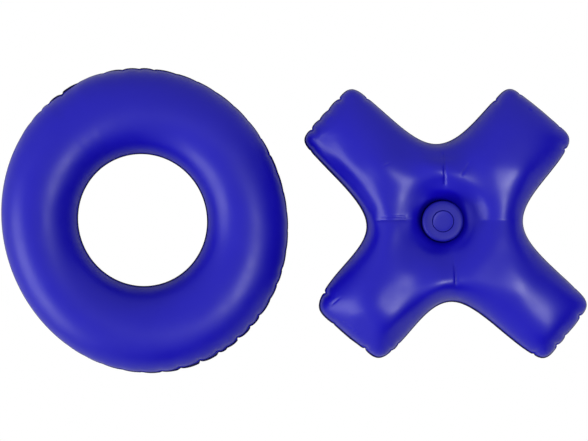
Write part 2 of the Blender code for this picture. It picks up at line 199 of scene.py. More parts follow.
def vinyl(name, dark, light, rough, grain=0.00045, grain_depth=0.000012, blotch=0.05,
          rough_swing=0.05, specular=0.5, scuff=0.0, coat=0.0):
    """Soft vinyl: two close colours in broad clouds, an uneven satin, a fine calendered
    grain and, where asked, faint rub marks."""
    mat, tree, bsdf = node_material(name)
    nodes = tree.nodes
    coord = nodes.new("ShaderNodeTexCoord")
    place = coord.outputs["Object"]
    cloud = nodes.new("ShaderNodeTexNoise")
    cloud.inputs["Scale"].default_value = 1.0 / blotch
    cloud.inputs["Detail"].default_value = 4.0
    cloud.inputs["Roughness"].default_value = 0.55
    wire(tree, place, cloud.inputs["Vector"])
    ramp = nodes.new("ShaderNodeValToRGB")
    ramp.color_ramp.elements[0].position = 0.3
    ramp.color_ramp.elements[0].color = (*dark, 1.0)
    ramp.color_ramp.elements[1].position = 0.7
    ramp.color_ramp.elements[1].color = (*light, 1.0)
    wire(tree, cloud.outputs["Fac"], ramp.inputs["Fac"])
    wire(tree, ramp.outputs["Color"], bsdf.inputs["Base Color"])
    # satin, a little glossier and duller in places
    patch = nodes.new("ShaderNodeTexNoise")
    patch.inputs["Scale"].default_value = 55.0
    patch.inputs["Detail"].default_value = 5.0
    wire(tree, place, patch.inputs["Vector"])
    swing = nodes.new("ShaderNodeMapRange")
    swing.inputs["From Min"].default_value = 0.3
    swing.inputs["From Max"].default_value = 0.7
    swing.inputs["To Min"].default_value = rough - rough_swing
    swing.inputs["To Max"].default_value = rough + rough_swing
    wire(tree, patch.outputs["Fac"], swing.inputs["Value"])
    wire(tree, swing.outputs["Result"], bsdf.inputs["Roughness"])
    # grain
    fine = nodes.new("ShaderNodeTexNoise")
    fine.inputs["Scale"].default_value = 1.0 / grain
    fine.inputs["Detail"].default_value = 3.0
    wire(tree, place, fine.inputs["Vector"])
    bump = nodes.new("ShaderNodeBump")
    bump.inputs["Strength"].default_value = 0.35
    bump.inputs["Distance"].default_value = grain_depth
    wire(tree, fine.outputs["Fac"], bump.inputs["Height"])
    last = bump
    if scuff:
        rub = nodes.new("ShaderNodeTexNoise")
        rub.inputs["Scale"].default_value = 28.0
        rub.inputs["Detail"].default_value = 8.0
        rub.inputs["Roughness"].default_value = 0.7
        rub.inputs["Distortion"].default_value = 1.2
        wire(tree, place, rub.inputs["Vector"])
        soft = nodes.new("ShaderNodeBump")
        soft.inputs["Strength"].default_value = 0.5
        soft.inputs["Distance"].default_value = scuff
        wire(tree, rub.outputs["Fac"], soft.inputs["Height"])
        wire(tree, bump.outputs["Normal"], soft.inputs["Normal"])
        last = soft
    wire(tree, last.outputs["Normal"], bsdf.inputs["Normal"])
    bsdf.inputs["IOR"].default_value = 1.4
    bsdf.inputs["Specular IOR Level"].default_value = specular
    if coat:
        bsdf.inputs["Coat Weight"].default_value = coat
        bsdf.inputs["Coat Roughness"].default_value = 0.25
    return mat


def weld_vinyl_painted_shade(name, dark, light, rough):
    """The doubled film of the weld, pressed with a fine grid by the welding bar. Its near-black colour is partly the
    doubled film's own darker tone and mostly painted shade: the shadow under the tube's overhang painted into the weld.
    """
    mat, tree, bsdf = node_material(name)
    nodes = tree.nodes
    coord = nodes.new("ShaderNodeTexCoord")
    place = coord.outputs["Object"]
    grid = nodes.new("ShaderNodeTexVoronoi")
    grid.inputs["Scale"].default_value = 1700.0
    grid.inputs["Randomness"].default_value = 0.25
    wire(tree, place, grid.inputs["Vector"])
    ramp = nodes.new("ShaderNodeValToRGB")
    ramp.color_ramp.elements[0].color = (*light, 1.0)
    ramp.color_ramp.elements[1].color = (*dark, 1.0)
    ramp.color_ramp.elements[1].position = 0.7
    wire(tree, grid.outputs["Distance"], ramp.inputs["Fac"])
    wire(tree, ramp.outputs["Color"], bsdf.inputs["Base Color"])
    bump = nodes.new("ShaderNodeBump")
    bump.inputs["Strength"].default_value = 0.5
    bump.inputs["Distance"].default_value = 0.00006
    wire(tree, grid.outputs["Distance"], bump.inputs["Height"])
    wire(tree, bump.outputs["Normal"], bsdf.inputs["Normal"])
    uneven = nodes.new("ShaderNodeTexNoise")
    uneven.inputs["Scale"].default_value = 90.0
    wire(tree, place, uneven.inputs["Vector"])
    swing = nodes.new("ShaderNodeMapRange")
    swing.inputs["To Min"].default_value = rough - 0.1
    swing.inputs["To Max"].default_value = rough + 0.1
    wire(tree, uneven.outputs["Fac"], swing.inputs["Value"])
    wire(tree, swing.outputs["Result"], bsdf.inputs["Roughness"])
    bsdf.inputs["IOR"].default_value = 1.5
    bsdf.inputs["Specular IOR Level"].default_value = 0.14
    return mat


# the X's film is stretched tighter, so it shines a little more sharply than the ring's
RING_TOP = vinyl("vinyl_film_ring", (0.0028, 0.0003, 0.345), (0.0036, 0.0006, 0.375), 0.40, scuff=0.00012)
X_TOP = vinyl("vinyl_film_x", (0.0028, 0.0003, 0.345), (0.0036, 0.0006, 0.375), 0.35, scuff=0.00012)
FILM_LOW = vinyl("vinyl_film_under", (0.0044, 0.0026, 0.320), (0.0058, 0.0036, 0.355), 0.45, scuff=0.00016)
# the weld band and the films' cut edges are painted near-black navy: painted shade for the shadow under the tube's
# bulge, over the doubled film's own slightly darker tone
RIM_PAINTED_SHADE = weld_vinyl_painted_shade("vinyl_weld_painted_shade", (0.0012, 0.0010, 0.030), (0.0022, 0.0018, 0.055), 0.5)
MOULDED = vinyl("vinyl_moulded", (0.0014, 0.0006, 0.250), (0.0024, 0.0014, 0.280), 0.5,
                grain=0.0003, grain_depth=0.00001, blotch=0.012, specular=0.46)
PLUG = vinyl("vinyl_stopper", (0.0010, 0.0003, 0.285), (0.0018, 0.0008, 0.315), 0.45,
             grain=0.0003, grain_depth=0.00001, blotch=0.010, specular=0.42)
FLAP = vinyl("vinyl_flap", (0.0500, 0.0500, 0.420), (0.0600, 0.0600, 0.480), 0.35,
             grain=0.0005, grain_depth=0.00001, blotch=0.008)

# ---------------------------------------------------------------- O marker skins
# how much of the weld band stands out past the tube, mm, seen from above
O_BAND = [(0, 0.8), (25, 1.2), (38, 0.6), (60, 0.7), (86, 1.0), (100, 1.0), (108, 0.3),
          (114, 0.25), (120, 1.7), (126, 1.5), (131, 0.3), (140, 0.1), (160, 0.0), (228, 0.0),
          (245, 0.4), (262, 0.8), (275, 1.1), (290, 1.7), (310, 1.5), (326, 1.2), (340, 1.0)]
# the gathers along the outer weld: bearing, depth in mm
O_GATHERS = [(276.4, 0.9), (283.5, 1.5), (291.6, 1.7), (299.1, 1.9), (302.9, 0.5), (308.4, 1.9),
             (314.8, 1.5), (320.2, 1.4), (327.8, 0.7), (334.0, 0.8), (340.3, 0.8), (347.6, 0.25),
             (355.8, 0.25), (3.6, 0.2), (11.7, 0.3), (19.4, 0.35), (27.5, 0.7), (35.4, 0.6),
             (43.8, 0.3), (52.1, 0.25), (60.9, 0.3), (69.4, 0.4), (77.6, 0.5), (86.3, 0.8),
             (91.9, 0.9), (98.1, 1.0), (105.3, 1.1), (115.7, 0.6), (123.1, 2.0), (129.3, 1.5),
             (133.2, 1.0), (138.8, 0.5), (145.9, 0.2), (238.2, 0.15), (246.1, 0.3), (253.4, 0.4),
             (261.2, 0.5), (268.9, 0.6)]


def gathers(s, marks, total, steep=0.62, slack=1.5):
    """Notch profile along a rim: s and marks are lengths along it. A sharp fold on one
    side and an easing slope on the other; also a wider soft version of the same."""
    sharp = np.zeros_like(s)
    soft = np.zeros_like(s)
    for at, depth in marks:
        d = np.mod(s - at + total / 2, total) - total / 2
        edge = np.where(d < 0, np.exp(-np.abs(d) / steep), np.exp(-np.abs(d) / slack))
        sharp = np.maximum(sharp, depth * edge)
        soft = np.maximum(soft, depth * np.exp(-(d / 2.1) ** 2))
    return sharp, soft


def swell(s, marks, total):
    """How the rim bows out between one gather and the next, 0 to 1."""
    at = np.sort(np.array([m[0] for m in marks]) % total)
    ext = np.concatenate([at[-1:] - total, at, at[:1] + total])
    i = np.clip(np.searchsorted(ext, s, side="right") - 1, 0, len(ext) - 2)
    t = (s - ext[i]) / (ext[i + 1] - ext[i])
    return np.sin(pi * np.clip(t, 0, 1)) ** 2, t


O_STATIONS = 600
O_TUBE = 46          # steps over the tube

o_theta = np.arange(O_STATIONS) * 2 * pi / O_STATIONS
o_way = np.column_stack([np.cos(o_theta), np.sin(o_theta)])
o_outer = O_RADIUS + O_OVAL * np.cos(2 * (o_theta - O_BEARING))
o_inner = O_HOLE_RADIUS + O_HOLE_OVAL * np.cos(2 * (o_theta - O_HOLE_BEARING))
o_s = o_theta * O_RADIUS
o_total = 2 * pi * O_RADIUS
o_marks = [(radians(b) * O_RADIUS, d) for b, d in O_GATHERS]
o_band = by_bearing(O_BAND, np.degrees(o_theta))
o_sharp, o_soft = gathers(o_s, o_marks, o_total)
o_swell, o_phase = swell(o_s, o_marks, o_total)
o_liveliness = by_bearing([(0, 0.3), (30, 0.45), (60, 0.4), (100, 0.8), (125, 1.0), (140, 0.5),
                           (160, 0.06), (230, 0.06), (255, 0.4), (280, 0.9), (310, 1.0),
                           (335, 0.6)], np.degrees(o_theta))


def o_valve_place():
    outer = O_RADIUS + O_OVAL * cos(2 * (O_VALVE_BEARING - O_BEARING))
    inner = O_HOLE_RADIUS + O_HOLE_OVAL * cos(2 * (O_VALVE_BEARING - O_HOLE_BEARING))
    d = direction(O_VALVE_BEARING)
    return O_CENTRE + (d * (outer - WELD) + O_HOLE_SHIFT + d * (inner + WELD_INNER)) / 2


O_VALVE = o_valve_place()


def o_rows(side):
    """Rows of points across one film, outer rim first, for every station; and which
    rows belong to the weld."""
    n = O_STATIONS
    lean = np.arccos(np.clip(o_band / WELD, 0.0, 1.0))          # droop of the band
    lean = np.minimum(lean, radians(74))
    ripple = 0.22 * o_liveliness * waves(np.column_stack([o_way * O_RADIUS]), 5, 40, 13)
    z_seam = O_SEAM_Z + ripple
    # the weld's root line
    reach = WELD * np.cos(lean)
    root = o_outer - reach - 0.38 * o_sharp + 0.25 * o_liveliness * (o_swell - 0.5)
    length = WELD - 0.55 * o_sharp + 0.30 * o_liveliness * (o_phase - 0.45)
    lift = 0.5 * o_liveliness * waves(np.column_stack([o_way * O_RADIUS]), 8, 26, 9)
    tau = np.column_stack([np.cos(lean), -np.sin(lean) + 0.18 * lift])
    tau /= np.linalg.norm(tau, axis=1)[:, None]
    nu = np.column_stack([-tau[:, 1], tau[:, 0]])
    off = SEAM_GAP + FILM
    rows, weld = [], []

    def put(r, z, is_weld):
        xy = O_CENTRE + o_way * r[:, None]
        rows.append(np.column_stack([xy, z]))
        weld.append(is_weld)

    for f in (1.0, 0.86, 0.5, 0.16):
        r = root + tau[:, 0] * length * f + side * nu[:, 0] * off
        z = z_seam + tau[:, 1] * length * f + side * nu[:, 1] * off
        put(r, z, True)
    # the tube
    base_root = o_outer - reach
    in_point = O_HOLE_SHIFT + o_way * (o_inner + WELD_INNER)[:, None]
    out_point = o_way * base_root[:, None]
    mid, half = (out_point + in_point) / 2, (out_point - in_point) / 2
    wide = np.linalg.norm(half, axis=1)
    for k in range(O_TUBE + 1):
        a = pi * k / O_TUBE
        p = mid + half * cos(a)
        rise = sin(a)
        from_out = 27.5 * a                     # length along the film from the outer root
        near = np.exp(-from_out / 4.0)
        up = np.exp(-from_out / 9.0)
        # the fold of each gather runs a little way up the tube and fades
        pull = -0.38 * o_sharp * near + 0.25 * o_liveliness * (o_swell - 0.5) * up
        crease = -(0.42 * o_soft) * np.exp(-((from_out - 3.0) / 6.0) ** 2)
        crease = crease + 0.16 * o_liveliness * (o_swell - 0.5) * np.exp(-((from_out - 5) / 8.0) ** 2)
        away = o_way * (pull + crease * cos(a))[:, None]
        tie = np.exp(-from_out / 1.2)
        shift = side * nu[:, 0] * off * tie
        lower = (side * nu[:, 1] * off - side * off) * tie
        p = p + away + o_way * shift[:, None]
        z = (z_seam * up + O_SEAM_Z * (1 - up)
             + side * (off + (O_HALF_HEIGHT - FILM) * rise + crease * sin(a))) + lower
        # the weld at the hole pulls the film slightly tight and even
        rows.append(np.column_stack([O_CENTRE + p, z]))
        weld.append(False)
    for f in (0.16, 0.5, 0.86, 1.0):
        r = (o_inner + WELD_INNER - WELD_INNER * f)
        xy = O_CENTRE + O_HOLE_SHIFT + o_way * r[:, None]
        z = np.full(n, O_SEAM_Z) + side * off + 0.06 * f * waves(o_way * 46.0, 31, 30, 12)
        rows.append(np.column_stack([xy, z]))
        weld.append(True)
    return np.array(rows), weld


def o_belly(p):
    """Height of the ring's lower film at plan points, as blown up on the ground."""
    q = p - O_CENTRE
    bearing = np.arctan2(q[:, 1], q[:, 0])
    way = np.column_stack([np.cos(bearing), np.sin(bearing)])
    outer = way * (O_RADIUS + O_OVAL * np.cos(2 * (bearing - O_BEARING)) - WELD)[:, None]
    inner = O_HOLE_SHIFT + way * (O_HOLE_RADIUS + O_HOLE_OVAL * np.cos(2 * (bearing - O_HOLE_BEARING))
                                  + WELD_INNER)[:, None]
    across = ((q - (outer + inner) / 2) * way).sum(1) / (np.linalg.norm(outer - inner, axis=1) / 2)
    rise = np.sqrt(np.clip(1 - across ** 2, 0, 1))
    return ground(O_SEAM_Z - (SEAM_GAP + FILM) - (O_HALF_HEIGHT - FILM) * rise)


def o_skin(name, side):
    rows, weld = o_rows(side)
    m, n = rows.shape[:2]
    points = rows.reshape(-1, 3).copy()
    tube = np.zeros(m, bool)
    tube[4:-4] = True
    is_tube = np.repeat(tube, n)
    # slight unevenness of a blown film, none at the welds
    a = np.zeros(m)
    a[4:-4] = np.sin(np.linspace(0, pi, m - 8))
    weight = np.repeat(np.clip(a * 1.6, 0, 1), n)
    uneven = waves(points, 11 if side > 0 else 12, 150, 38) * 0.28 \
        + waves(points, 13 if side > 0 else 14, 40, 16, 12) * 0.045
    grid = np.arange(m * n).reshape(m, n)
    nxt = np.roll(grid, -1, axis=1)
    quads = np.stack([grid[:-1], nxt[:-1], nxt[1:], grid[1:]], axis=-1).reshape(-1, 4)
    if side < 0:
        quads = quads[:, ::-1]
    tris = triangles_of(quads)
    normal = vertex_normals(points, tris)
    points += normal * (uneven * weight)[:, None]
    slots = np.repeat([1 if (weld[k] or weld[k + 1]) and (k < 3 or k >= m - 4) else 0
                       for k in range(m - 1)], n)
    if side > 0:
        points[:, 2] = np.minimum(points[:, 2], 52.45)
        return film_skin(name, points, quads, np.zeros((0, 3), int), (RING_TOP, RIM_PAINTED_SHADE), slots,
                         np.zeros(0, int))
    # where the ring lies on the ground it is pressed flat, with a soft edge to the flat
    points[:, 2] = ground(points[:, 2])
    away = np.hypot(points[:, 0] - O_VALVE[0], points[:, 1] - O_VALVE[1])
    t = smooth_step((away - FLAT_RADIUS) / (O_DIMPLE - FLAT_RADIUS))
    z = np.where(is_tube, O_VALVE_FILM_Z * (1 - t) + points[:, 2] * t, points[:, 2])
    points[:, 2] = z
    cut = away < 22.5
    gone = cut[quads].all(1)
    keep, drop = quads[~gone], quads[gone]
    slots = slots[~gone]
    border = border_edges(triangles_of(drop))
    ring_radii = [FILM_HOLE, 15.3, 16.0, 16.9, 17.9, 18.8, 19.7, 20.6, 21.5]
    before = len(points)
    points, tris = fill_round(points, border, O_VALVE, ring_radii, O_VALVE_FILM_Z,
                              lambda r: np.zeros_like(r))
    fresh = points[before:]
    away = np.hypot(fresh[:, 0] - O_VALVE[0], fresh[:, 1] - O_VALVE[1])
    t = smooth_step((away - FLAT_RADIUS) / (O_DIMPLE - FLAT_RADIUS))
    points[before:, 2] = O_VALVE_FILM_Z * (1 - t) + o_belly(fresh[:, :2]) * t
    # triangles of the underside face down
    tris = face_way(points, tris, -1)
    # leave out the points that no face uses any more
    points, (keep, tris) = used_only(points, (keep, tris))
    return film_skin(name, points, keep, tris, (FILM_LOW, RIM_PAINTED_SHADE), slots, np.zeros(len(tris), int))


def soft_least(a, b, soft):
    """The lower of two heights, rounded where they meet."""
    d = np.clip(np.abs(a - b) / soft, 0, 60)
    return np.minimum(a, b) - soft * np.log1p(np.exp(-d))


def ground(z, soft=0.35):
    """z held above the ground with a soft corner."""
    return np.where(z > soft, z, np.where(z < -soft, 0.0, (z + soft) ** 2 / (4 * soft)))


def face_way(points, tris, side):
    a, b, c = (points[tris[:, i]][:, :2] for i in range(3))
    area = (b[:, 0] - a[:, 0]) * (c[:, 1] - a[:, 1]) - (b[:, 1] - a[:, 1]) * (c[:, 0] - a[:, 0])
    flip = area * side < 0
    out = tris.copy()
    out[flip] = out[flip][:, ::-1]
    return out


def used_only(points, groups):
    used = np.zeros(len(points), bool)
    for g in groups:
        used[g.ravel()] = True
    new = np.cumsum(used) - 1
    return points[used], tuple(new[g] for g in groups)


def inside_polygon(p, loop_a, loop_b):
    """Even-odd test of points p against edges a-b."""
    out = np.zeros(len(p), bool)
    for (ax, ay), (bx, by) in zip(loop_a, loop_b):
        if ay == by:
            continue
        span = (p[:, 1] >= min(ay, by)) & (p[:, 1] < max(ay, by))
        x = ax + (p[:, 1] - ay) * (bx - ax) / (by - ay)
        out ^= span & (p[:, 0] < x)
    return out


def plan_triangles(plan, edges, keep):
    """Delaunay triangles of plan points, with the edges held, where keep says so."""
    verts, _, faces, ids, _, _ = delaunay_2d_cdt(
        [Vector((float(x), float(y))) for x, y in plan], [tuple(int(i) for i in e) for e in edges],
        [], 0, 1e-6)
    back = np.array([i[0] if len(i) else -1 for i in ids])
    tris = back[np.array(faces, int)]
    tris = tris[(tris >= 0).all(1)]
    middle = plan[tris].mean(1)
    return tris[keep(middle)]


def fill_round(points, border, centre, radii, z0, rise, steps=96):
    """Closes the gap between a ragged border and a round hole with rings of points."""
    loop = np.unique(border.ravel())
    angle = np.arange(steps) * 2 * pi / steps
    rings = []
    for k, r in enumerate(radii):
        a = angle + (pi / steps if k % 2 else 0.0)
        rings.append(np.column_stack([centre[0] + r * np.cos(a), centre[1] + r * np.sin(a),
                                      z0 + rise(np.full(steps, float(r)))]))
    new = np.vstack(rings)
    local = np.concatenate([loop, np.arange(len(new)) + len(points)])
    every = np.vstack([points, new])
    where = {int(g): i for i, g in enumerate(local)}
    edges = [(where[int(a)], where[int(b)]) for a, b in border]
    first = len(loop)
    edges += [(first + i, first + (i + 1) % steps) for i in range(steps)]
    plan = every[local][:, :2]
    a2, b2 = points[border[:, 0], :2], points[border[:, 1], :2]

    def keep(p):
        r = np.hypot(p[:, 0] - centre[0], p[:, 1] - centre[1])
        return (r > radii[0] * cos(pi / steps) + 1e-4) & inside_polygon(p, a2, b2)

    tris = plan_triangles(plan, edges, keep)
    return every, local[tris]


# ---------------------------------------------------------------- X marker skins
def bezier(p0, p1, p2, p3, n):
    t = np.linspace(0, 1, n, endpoint=False)[:, None]
    return (1 - t) ** 3 * p0 + 3 * (1 - t) ** 2 * t * p1 + 3 * (1 - t) * t * t * p2 + t ** 3 * p3


def x_outline(step):
    """The weld's outer edge about the arms' middle: closed, counter-clockwise, even steps."""
    notches = [NOTCH_DEPTH[k] * direction(NOTCH_BEARING[k]) for k in range(4)]
    first, second = [], []
    for k in range(4):
        tip = ARM_REACH[k] * direction(ARM_BEARING[k])
        along = direction(ARM_BEARING[k] + pi / 2 + ARM_TIP_TILT[k])
        first.append(tip - along * ARM_TIP_WIDTH[k] / 2)
        second.append(tip + along * ARM_TIP_WIDTH[k] / 2)
    runs = []
    for k in range(4):
        j = (k + 1) % 4
        leave = direction(NOTCH_BEARING[k] + NOTCH_TURN[k] + pi / 2)
        arrive = direction(NOTCH_BEARING[j] + NOTCH_TURN[j] + pi / 2)
        toe_a = direction(ARM_BEARING[k] + ARM_TOE_FIRST[k])
        toe_b = direction(ARM_BEARING[k] + ARM_TOE_SECOND[k])
        runs.append(bezier(notches[k], notches[k] + leave * NOTCH_FULLNESS,
                           first[k] - toe_a * ARM_FULLNESS, first[k], 90))
        runs.append(bezier(first[k], first[k] * 2 / 3 + second[k] / 3,
                           first[k] / 3 + second[k] * 2 / 3, second[k], 50))
        runs.append(bezier(second[k], second[k] - toe_b * ARM_FULLNESS,
                           notches[j] - arrive * NOTCH_FULLNESS, notches[j], 90))
    rough = np.concatenate(runs)
    seg = np.hypot(*(np.roll(rough, -1, 0) - rough).T)
    at = np.concatenate([[0.0], np.cumsum(seg)])
    n = int(round(at[-1] / step))
    s = np.arange(n) * at[-1] / n
    ring = np.vstack([rough, rough[:1]])
    even = np.column_stack([np.interp(s, at, ring[:, 0]), np.interp(s, at, ring[:, 1])])
    reach = int(3 * CORNER_SOFTNESS / step)
    offsets = range(-reach, reach + 1)
    weights = np.array([np.exp(-0.5 * (o * step / CORNER_SOFTNESS) ** 2) for o in offsets])
    weights /= weights.sum()
    return sum(w * np.roll(even, o, 0) for w, o in zip(weights, offsets))


def outward(line):
    tangent = np.roll(line, -1, 0) - np.roll(line, 1, 0)
    tangent /= np.hypot(*tangent.T)[:, None]
    return np.column_stack([tangent[:, 1], -tangent[:, 0]])


# gathers of the X's weld, about the pair's middle: x, y in mm and the depth
X_GATHERS = [(32.3, 84.6, 1.7), (24.4, 77.4, 0.6), (17.9, 70.9, 0.7), (12.9, 63.5, 1.8),
             (11.6, 48.4, 0.5), (51.5, 86.0, 1.1),
             (141.8, 83.9, 1.1), (158.5, 88.3, 1.0), (185.9, 65.5, 0.7), (189.6, 50.1, 2.1),
             (22.0, -50.8, 2.0), (27.8, -71.3, 0.5), (50.1, -89.2, 1.6), (68.6, -91.2, 0.7),
             (73.5, -86.3, 0.6),
             (196.7, -47.2, 0.3), (199.9, -67.1, 2.2), (190.5, -80.6, 1.1), (183.7, -86.9, 2.0),
             (168.2, -93.4, 1.1)]
X_WALL = [0.0, 0.045, 0.18, 0.42, 0.75, 1.18, 1.7, 2.35, 3.1, 4.0, 5.0]   # rows beside the rim
X_LATTICE = 1.75

# how steeply the film rises away from the X's valve, and how round its ridge is, by bearing
VALVE_SLOPE = [(0, 0.58), (45, 0.62), (80, 0.50), (100, 0.46), (135, 0.42), (180, 0.32),
               (225, 0.30), (270, 0.36), (315, 0.40)]
VALVE_ROUND = [(0, 1.2), (45, 1.2), (90, 2.4), (135, 3.0), (180, 3.0), (225, 2.8), (270, 2.6),
               (315, 2.0)]
VALVE_SLOPE_AT_NECK, VALVE_EASE = 1.15, 9.0

# valleys that run from each notch to the valve, where the marker was folded for packing:
# from, to, depth and width of the V, depth and width of the wider trough, about the valve
X_VALLEYS = [((-52.0, 0.4), (-14.0, 1.3), 1.5, 8.0, 1.6, 12.0),
             ((0.3, 52.0), (1.8, 14.0), 1.4, 8.0, 2.6, 16.0),
             ((7.4, -14.0), (9.6, -54.0), 0.8, 7.0, 1.4, 14.0),
             ((14.0, 0.6), (54.0, 0.9), 1.5, 8.0, 1.6, 12.0)]
# sharp lines along them and elsewhere: from, to, depth, half-width
X_LINES = [((-46.6, 0.6), (-20.6, 1.2), 0.62, 0.7), ((-41.6, 2.7), (-20.6, 3.6), 0.50, 0.6),
           ((0.3, 47.2), (1.4, 24.2), 0.85, 0.9), ((8.0, -29.5), (9.0, -43.5), 0.80, 0.9),
           ((18.2, 40.5), (13.2, 32.7), 0.50, 0.8), ((-76.1, -57.6), (-71.4, -53.5), 0.3, 0.6),
           ((-40.6, 38.2), (-36.8, 40.2), 0.18, 0.6)]
# where the blown-up film stands prouder or sinks, about the valve: x, y, rise, size
X_SWELLS = [(-24, 0, 2.4, 9), (12, -12, -1.9, 18), (-12, 30, 0.2, 9), (12, 42, -1.8, 18),
            (66, -54, -1.0, 9), (-30, 54, -1.8, 18), (42, -18, -1.3, 9), (-18, -42, -0.9, 9),
            (48, 24, -2.1, 9), (-6, 18, -0.5, 9), (-48, 18, -3.9, 13), (-42, -72, 2.5, 9),
            (-78, 48, -2.7, 9), (30, 36, 1.8, 9), (-60, 30, -0.6, 9), (-12, 48, 0.2, 9),
            (-42, 36, 2.5, 9), (54, -42, 0.5, 9), (-36, 0, 1.2, 9), (-30, -36, 1.3, 9),
            (72, -66, -0.7, 9), (78, -78, 1.2, 9), (30, 0, -0.9, 9), (18, -24, 1.0, 9),
            (-6, 36, 4.3, 9), (-30, 18, -0.2, 9), (-18, 42, -2.1, 9), (6, 30, 4.5, 9),
            (24, 12, -2.5, 9), (24, 30, -1.3, 9), (0, -30, 1.0, 9), (36, 60, 0.4, 13),
            (-48, -48, 1.9, 9), (-60, -60, 1.8, 9), (48, 0, -0.3, 9), (54, 30, 1.9, 9),
            (0, -48, 1.7, 9), (30, -36, -0.9, 9), (-18, 18, -0.7, 9), (18, 0, 0.3, 9),
            (0, -18, -0.3, 9), (-18, -12, -1.3, 9), (12, 18, 2.0, 9), (-26, -52, -0.2, 8),
            (-36, -58, -0.1, 8), (-54, -74, -1.3, 8), (-30, -66, 1.8, 8), (-50, -62, 1.1, 8)]


def segment(p, a, b):
    """Distance across and place along (0 to 1) of points from the line a-b."""
    a, b = np.array(a, float), np.array(b, float)
    d = b - a
    length = hypot(*d)
    d /= length
    q = p - a
    return q[:, 0] * d[1] - q[:, 1] * d[0], (q @ d) / length, length


def fold_rise(p, r, deep):
    """How far the folds sink the film, at points about the valve."""
    out = np.zeros(len(p))
    open_film = smooth_step((r - 15.5) / 14.0) * smooth_step(deep / 11.0)
    for a, b, depth, width, trough, trough_width in X_VALLEYS:
        across, along, length = segment(p, a, b)
        ahead = smooth_step((along * length + 12.0) / 12.0) * smooth_step((length * (1 - along) + 12.0) / 12.0)
        out -= ahead * open_film * (depth * np.exp(-(np.sqrt(across ** 2 + 0.16) - 0.4) / width)
                                    + trough * np.exp(-(across / trough_width) ** 2))
    for a, b, depth, width in X_LINES:
        across, along, length = segment(p, a, b)
        end = smooth_step((along * length + 2.5) / 5.0) * smooth_step((length * (1 - along) + 2.5) / 5.0)
        out -= depth * end * np.exp(-(across / width) ** 2)
    return out


def swells(p, r, deep):
    """The broad unevenness of the X's blown-up film, at points about the valve."""
    out = np.zeros(len(p))
    for x, y, rise, size in X_SWELLS:
        out += rise * np.exp(-((p[:, 0] - x) ** 2 + (p[:, 1] - y) ** 2) / (2.0 * size ** 2))
    return out * smooth_step(deep / 14.0) * smooth_step((r - 15.0) / 7.0)


def x_plan():
    """Plan of the X's rim: even stations along the weld's edge, their outward ways, the gathers beside them and how
    lively each part is.
    """
    line = x_outline(1.0)
    n = len(line)
    out = outward(line)
    world = line + X_OUTLINE_SHIFT + X_CENTRE
    seg = np.hypot(*(np.roll(world, -1, 0) - world).T)
    s = np.concatenate([[0.0], np.cumsum(seg)[:-1]])
    total = seg.sum()
    marks = []
    for x, y, depth in X_GATHERS:
        k = int(np.argmin(np.hypot(world[:, 0] - x, world[:, 1] - y)))
        marks.append((s[k], depth))
    sharp, soft = gathers(s, marks, total, steep=0.8, slack=1.1)
    bow, phase = swell(s, marks, total)
    face = np.arctan2(out[:, 1], out[:, 0])
    band = 0.75 + 0.55 * np.cos(face - radians(225.0))
    # livelier at the arms' ends than along their sides
    reach = np.hypot(*(line.T))
    lively = smooth_step((reach - 78) / 22)
    return {"n": n, "line": world - X_CENTRE, "out": out, "s": s, "total": total,
            "sharp": sharp, "soft": soft, "bow": bow, "band": band, "lively": lively}


def solve_rise(plan, tris, held):
    """Screened Poisson equation on the plan by conjugate gradients."""
    n = len(plan)
    p = plan[tris]
    rows, cols, vals = [], [], []
    e = [p[:, 1] - p[:, 0], p[:, 2] - p[:, 0]]
    double = np.abs(e[0][:, 0] * e[1][:, 1] - e[0][:, 1] * e[1][:, 0])
    double = np.maximum(double, 1e-9)
    area = np.zeros(n)
    diag = np.zeros(n)
    for m in range(3):
        i, j, o = m, (m + 1) % 3, (m + 2) % 3
        u, v = p[:, i] - p[:, o], p[:, j] - p[:, o]
        w = (u * v).sum(1) / double / 2
        rows += [tris[:, i], tris[:, j]]
        cols += [tris[:, j], tris[:, i]]
        vals += [-w, -w]
        diag += np.bincount(tris[:, i], w, n) + np.bincount(tris[:, j], w, n)
        area += np.bincount(tris[:, m], double / 6, n)
    rows, cols, vals = np.concatenate(rows), np.concatenate(cols), np.concatenate(vals)
    diag = diag + area / X_SPREAD ** 2
    free = ~held

    def times(x):
        return (diag * x + np.bincount(rows, vals * x[cols], n)) * free

    x = np.zeros(n)
    r = area * free
    inv = free / np.maximum(diag, 1e-12)
    z = inv * r
    d = z.copy()
    rz = r @ z
    first = rz
    for _ in range(3000):
        q = times(d)
        alpha = rz / (d @ q)
        x += alpha * d
        r -= alpha * q
        z = inv * r
        new = r @ z
        if new < first * 1e-18:
            break
        d = z + d * (new / rz)
        rz = new
    return soft_least(X_FULLNESS * np.sqrt(2 * np.clip(x, 0, None)), X_MOST, 2.2)


def lattice(loop_a, loop_b, clear):
    """Even points inside a loop, well apart from its edge, by the rule clear()."""
    low, high = loop_a.min(0), loop_a.max(0)
    ys = np.arange(low[1], high[1], X_LATTICE * sqrt(3) / 2)
    pts = []
    for k, y in enumerate(ys):
        xs = np.arange(low[0] + (X_LATTICE / 2 if k % 2 else 0), high[0], X_LATTICE)
        pts.append(np.column_stack([xs, np.full(len(xs), y)]))
    p = np.concatenate(pts)
    p = p[inside_polygon(p, loop_a, loop_b)]
    far = np.ones(len(p), bool)
    for start in range(0, len(p), 2000):
        block = p[start:start + 2000]
        d = np.sqrt(((block[:, None, :] - loop_a[None, :, :]) ** 2).sum(2)).min(1)
        far[start:start + 2000] = d > 0.95
    p = p[far]
    return p[clear(p)]


